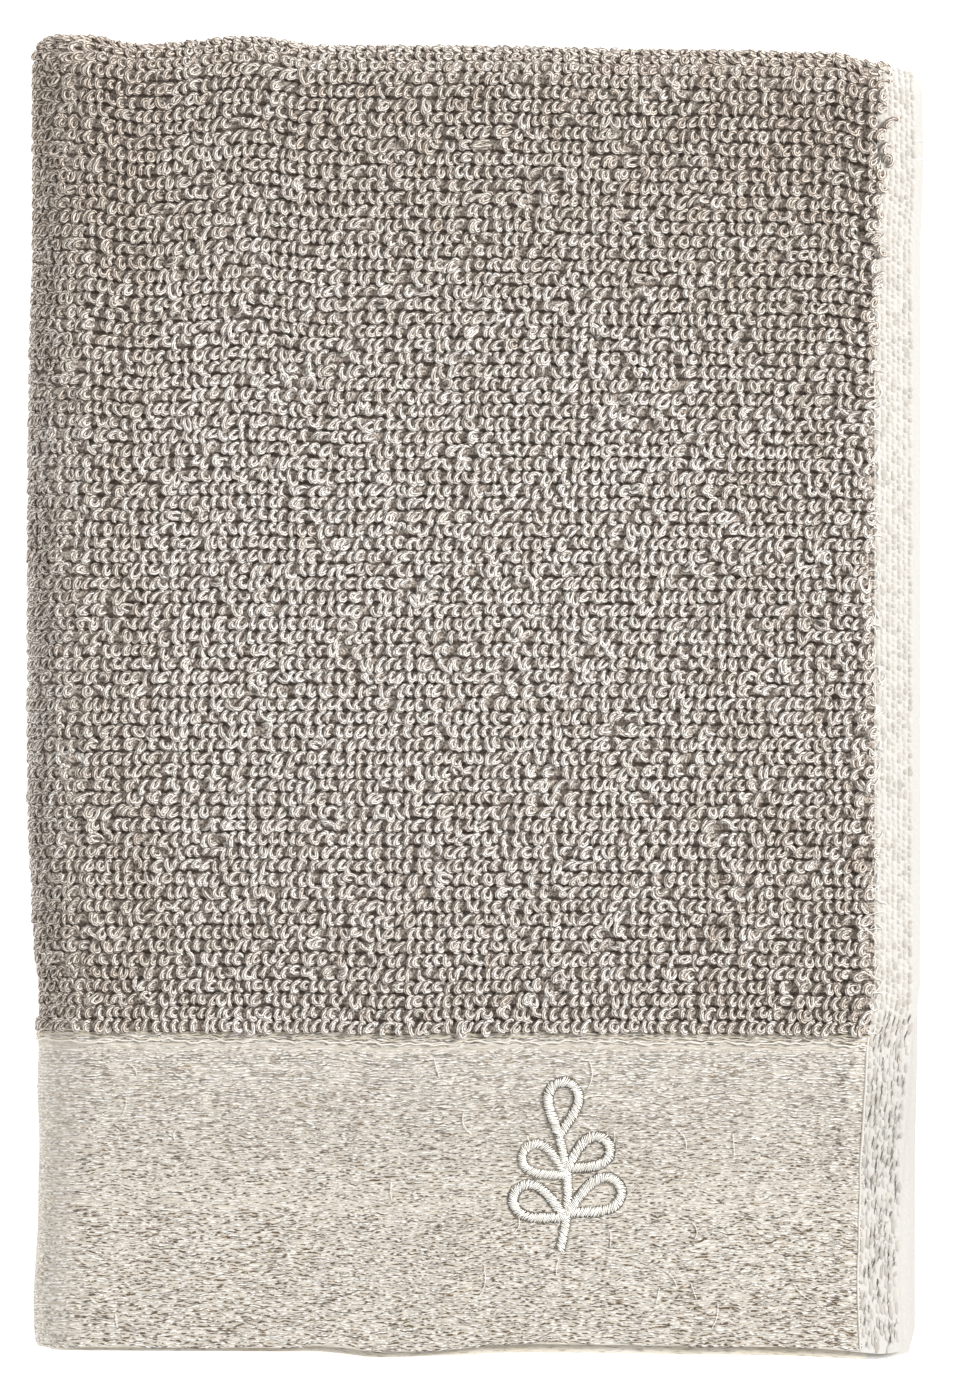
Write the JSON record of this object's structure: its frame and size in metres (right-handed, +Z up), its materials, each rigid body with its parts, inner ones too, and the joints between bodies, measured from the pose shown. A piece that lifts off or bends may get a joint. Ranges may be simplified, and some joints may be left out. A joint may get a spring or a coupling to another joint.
{
  "type": "folded hand towel",
  "caption": "Folded terry hand towel: looped pile, a flat-woven linen-look band at its ends and pale selvedges, folded flat in thirds and quarters.",
  "frame": {"origin": "middle of the folded towel's outline, on the surface that it rests on", "axes": "+Z up through the folded layers; +X to the side with the visible selvedge; +Y away from the banded ends, along the folded length"},
  "size_m": [0.1714, 0.2534, 0.0352],
  "materials": {
    "towel_cloth": "looped cotton pile in oatmeal marl, flat-woven ends",
    "embroidery_thread": "satin-stitched off-white cotton thread, only in the visual model"
  },
  "bodies": {
    "root": {"towel": "towel_cloth"}
  },
  "joints": []
}
